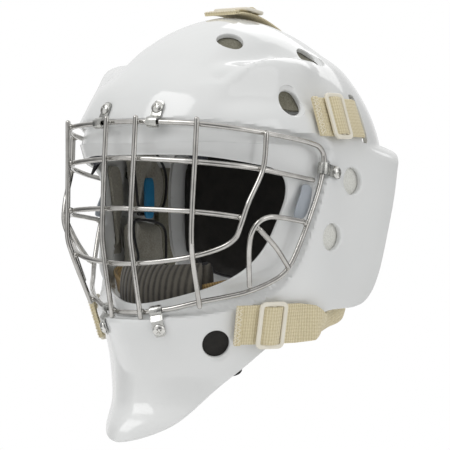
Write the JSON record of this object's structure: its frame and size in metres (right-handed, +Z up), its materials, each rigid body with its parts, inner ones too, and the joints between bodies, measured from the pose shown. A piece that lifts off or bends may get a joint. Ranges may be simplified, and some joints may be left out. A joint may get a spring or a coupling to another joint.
{
  "type": "goalie mask",
  "caption": "Ice-hockey goalie mask: glossy moulded shell with vents, a welded chrome wire cage held by screwed clips, foam liner, elastic harness and padded back plate.",
  "frame": {"origin": "on the plane of symmetry, at the middle of the wearer's head, level with the eyes' outer corners and half way along the ears", "axes": "+X to the wearer's left, -Y the way the face looks, +Z up"},
  "size_m": [0.2298, 0.2662, 0.3379],
  "materials": {
    "gel_coat": "high gloss gel coat over glass fibre laminate",
    "steel": "bright chromed steel wire",
    "zinc": "zinc plated steel",
    "plate": "satin grey, left blank",
    "webbing": "woven elastic webbing",
    "nylon": "satin moulded nylon",
    "grey_foam": "brushed liner cloth over foam",
    "black_foam": "matt closed-cell foam",
    "polymer": "satin moulded polymer",
    "sling": "ribbed stretch cloth"
  },
  "bodies": {
    "mask_shell": {"shell": "gel_coat", "cage_rim": "steel", "cage_upper_crossbar": "steel", "cage_middle_crossbar": "steel", "cage_cat_eye_wire": "steel", "cage_inner_upright_left": "steel", "cage_inner_upright_right": "steel", "cage_outer_upright_left": "steel", "cage_outer_upright_right": "steel", "cage_side_wire_left": "steel", "cage_side_wire_right": "steel", "cage_side_brace_left": "steel", "cage_side_brace_right": "steel", "cage_clip_top_left": "zinc", "cage_clip_top_right": "zinc", "cage_clip_side_left": "zinc", "cage_clip_side_right": "zinc", "cage_clip_bottom_left": "zinc", "cage_clip_bottom_right": "zinc", "clip_screw_top_left": "steel", "clip_screw_top_right": "steel", "clip_screw_side_left": "steel", "clip_screw_side_right": "steel", "clip_screw_bottom_left": "steel", "clip_screw_bottom_right": "steel", "clip_nut_top_left": "zinc", "clip_nut_top_right": "zinc", "clip_nut_side_left": "zinc", "clip_nut_side_right": "zinc", "clip_nut_bottom_left": "zinc", "clip_nut_bottom_right": "zinc", "rim_plate_left": "plate", "rim_plate_right": "plate", "forehead_pad": "black_foam", "crown_pad": "black_foam", "temple_pad_left": "grey_foam", "temple_pad_right": "grey_foam", "cheek_pad_left": "grey_foam", "cheek_pad_right": "grey_foam", "upper_strap_left": "webbing", "upper_strap_right": "webbing", "lower_strap_left": "webbing", "lower_strap_right": "webbing", "top_strap": "webbing", "chin_snap_left": "zinc", "chin_snap_right": "zinc"},
    "back_plate": {"back_plate": "polymer", "back_plate_foam": "black_foam", "strap_rivet_upper_left": "zinc", "strap_rivet_upper_right": "zinc", "strap_rivet_lower_left": "zinc", "strap_rivet_lower_right": "zinc", "strap_rivet_top": "zinc"},
    "chin_cup": {"chin_cup": "sling", "chin_strap": "sling"},
    "upper_slide_left": {"upper_slide_left": "nylon"},
    "upper_slide_right": {"upper_slide_right": "nylon"},
    "lower_slide_left": {"lower_slide_left": "nylon"},
    "lower_slide_right": {"lower_slide_right": "nylon"},
    "top_slide": {"top_slide": "nylon"}
  },
  "joints": [
    {"name": "back_plate_swing", "type": "hinge", "parent": "mask_shell", "child": "back_plate", "pos_m": [0, 0.142, 0.08], "axis": [1, 0, 0], "range_deg": [0, 35], "stiffness_Nm_per_rad": 0.5, "springref_deg": -11.46, "deforming": ["upper_strap_left", "upper_strap_right", "lower_strap_left", "lower_strap_right", "top_strap"]},
    {"name": "chin_cup_swing", "type": "hinge", "parent": "mask_shell", "child": "chin_cup", "pos_m": [0, -0.03, -0.052], "axis": [1, 0, 0], "range_deg": [-12, 12]},
    {"name": "upper_slide_left_travel", "type": "slide", "parent": "mask_shell", "child": "upper_slide_left", "axis": [0, 1, 0], "range_m": [-0.006, 0.006]},
    {"name": "lower_slide_left_travel", "type": "slide", "parent": "mask_shell", "child": "lower_slide_left", "axis": [0.4015, 0.9158, 0], "range_m": [-0.006, 0.006]},
    {"name": "upper_slide_right_travel", "type": "slide", "parent": "mask_shell", "child": "upper_slide_right", "axis": [0, 1, 0], "range_m": [-0.006, 0.006]},
    {"name": "lower_slide_right_travel", "type": "slide", "parent": "mask_shell", "child": "lower_slide_right", "axis": [-0.4015, 0.9158, 0], "range_m": [-0.006, 0.006]},
    {"name": "top_slide_travel", "type": "slide", "parent": "mask_shell", "child": "top_slide", "axis": [0, 0.9923, -0.1238], "range_m": [-0.006, 0.006]}
  ]
}
